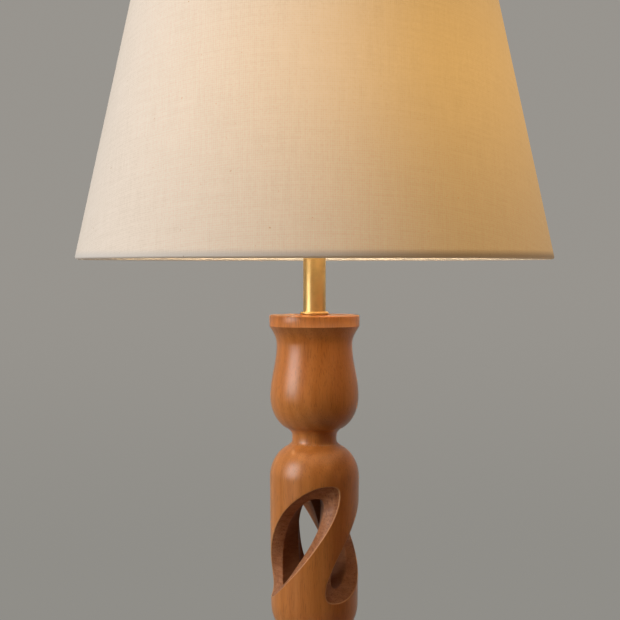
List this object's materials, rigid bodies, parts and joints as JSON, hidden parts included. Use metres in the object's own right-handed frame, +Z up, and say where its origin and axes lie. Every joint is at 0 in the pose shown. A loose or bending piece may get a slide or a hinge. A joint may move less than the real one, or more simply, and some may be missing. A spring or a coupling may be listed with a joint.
{
  "type": "table lamp",
  "caption": "Table lamp with a turned wooden column carved into an open twist, a brass neck and harp, and a tapered linen shade.",
  "frame": {"origin": "centre of the felt underside", "axes": "+Z up along the column, -Y the side the switch knob points to, +Y the side where the cord enters"},
  "size_m": [0.4, 0.3998, 0.7017],
  "materials": {
    "wood": "satin oiled",
    "brass": "satin brushed",
    "steel": "zinc plated",
    "nickel": "nickel plated",
    "iron": "rough cast",
    "felt": "matte felt",
    "linen": "plain linen weave",
    "liner": "matte",
    "painted_wire": "white enamel",
    "bakelite": "polished",
    "ceramic_white": "matte",
    "card": "matte",
    "lead_sleeve": "matte",
    "opal_glass": "opal",
    "clear_glass": "clear"
  },
  "bodies": {
    "lamp": {"base_felt": "felt", "base_disc": "wood", "base_weight": "iron", "weight_screws": "steel", "base_screws": "steel", "cord_gland": "bakelite", "terminal_block": "ceramic_white", "terminal_screws": "brass", "inner_lead": "lead_sleeve", "foot": "wood", "twist_barrel": "wood", "upper_vase": "wood", "pipe_insert": "brass", "upper_pipe": "steel", "neck_collar": "brass", "neck_tube": "brass", "tube_cap": "brass", "harp_saddle": "brass", "socket_cap": "brass", "cap_set_screw": "steel", "socket_shell": "brass", "socket_sleeve": "card", "socket_body": "bakelite", "switch_bush": "brass", "screw_shell": "brass", "centre_contact": "brass", "socket_screws": "steel", "harp_loop": "brass", "harp_boss": "brass"},
    "switch": {"switch_spindle": "brass", "switch_knob": "bakelite"},
    "bulb_envelope": {"bulb_glass": "opal_glass"},
    "bulb": {"bulb_cap": "nickel", "bulb_insulator": "bakelite", "bulb_contact": "steel", "bulb_stem": "clear_glass", "bulb_filament": "steel"},
    "left_sleeve": {"sleeve_left": "brass"},
    "right_sleeve": {"sleeve_right": "brass"},
    "shade": {"harp_stud": "brass", "shade_spider": "brass", "top_ring": "painted_wire", "bottom_ring": "painted_wire", "shade_cover": "linen", "shade_liner": "liner"},
    "finial_foot": {"finial_base": "brass"},
    "finial": {"finial_knob": "brass"}
  },
  "joints": [
    {"name": "switch_turn", "type": "hinge", "parent": "lamp", "child": "switch", "pos_m": [0, -0.03, 0.455], "axis": [0, -1, 0], "continuous": true},
    {"name": "bulb_lift", "type": "slide", "parent": "lamp", "child": "bulb_envelope", "axis": [0, 0, 1], "range_m": [0, 0.01996]},
    {"name": "bulb_turn", "type": "hinge", "parent": "bulb_envelope", "child": "bulb", "pos_m": [0, 0, 0.475], "axis": [0, 0, 1], "range_deg": [0, 1980]},
    {"name": "left_sleeve_lift", "type": "slide", "parent": "lamp", "child": "left_sleeve", "axis": [0, 0, 1], "range_m": [0, 0.012]},
    {"name": "right_sleeve_lift", "type": "slide", "parent": "lamp", "child": "right_sleeve", "axis": [0, 0, 1], "range_m": [0, 0.012]},
    {"name": "shade_turn", "type": "hinge", "parent": "lamp", "child": "shade", "pos_m": [0, 0, 0.675], "axis": [0, 0, 1], "continuous": true},
    {"name": "finial_lift", "type": "slide", "parent": "shade", "child": "finial_foot", "axis": [0, 0, 1], "range_m": [0, 0.00939]},
    {"name": "finial_turn", "type": "hinge", "parent": "finial_foot", "child": "finial", "pos_m": [0, 0, 0.69], "axis": [0, 0, 1], "range_deg": [0, 3600]}
  ],
  "couplings": [
    {"joint": "bulb_turn", "follows": "bulb_lift", "rad_per_m": 1730.9},
    {"joint": "finial_turn", "follows": "finial_lift", "rad_per_m": 6684.2}
  ]
}
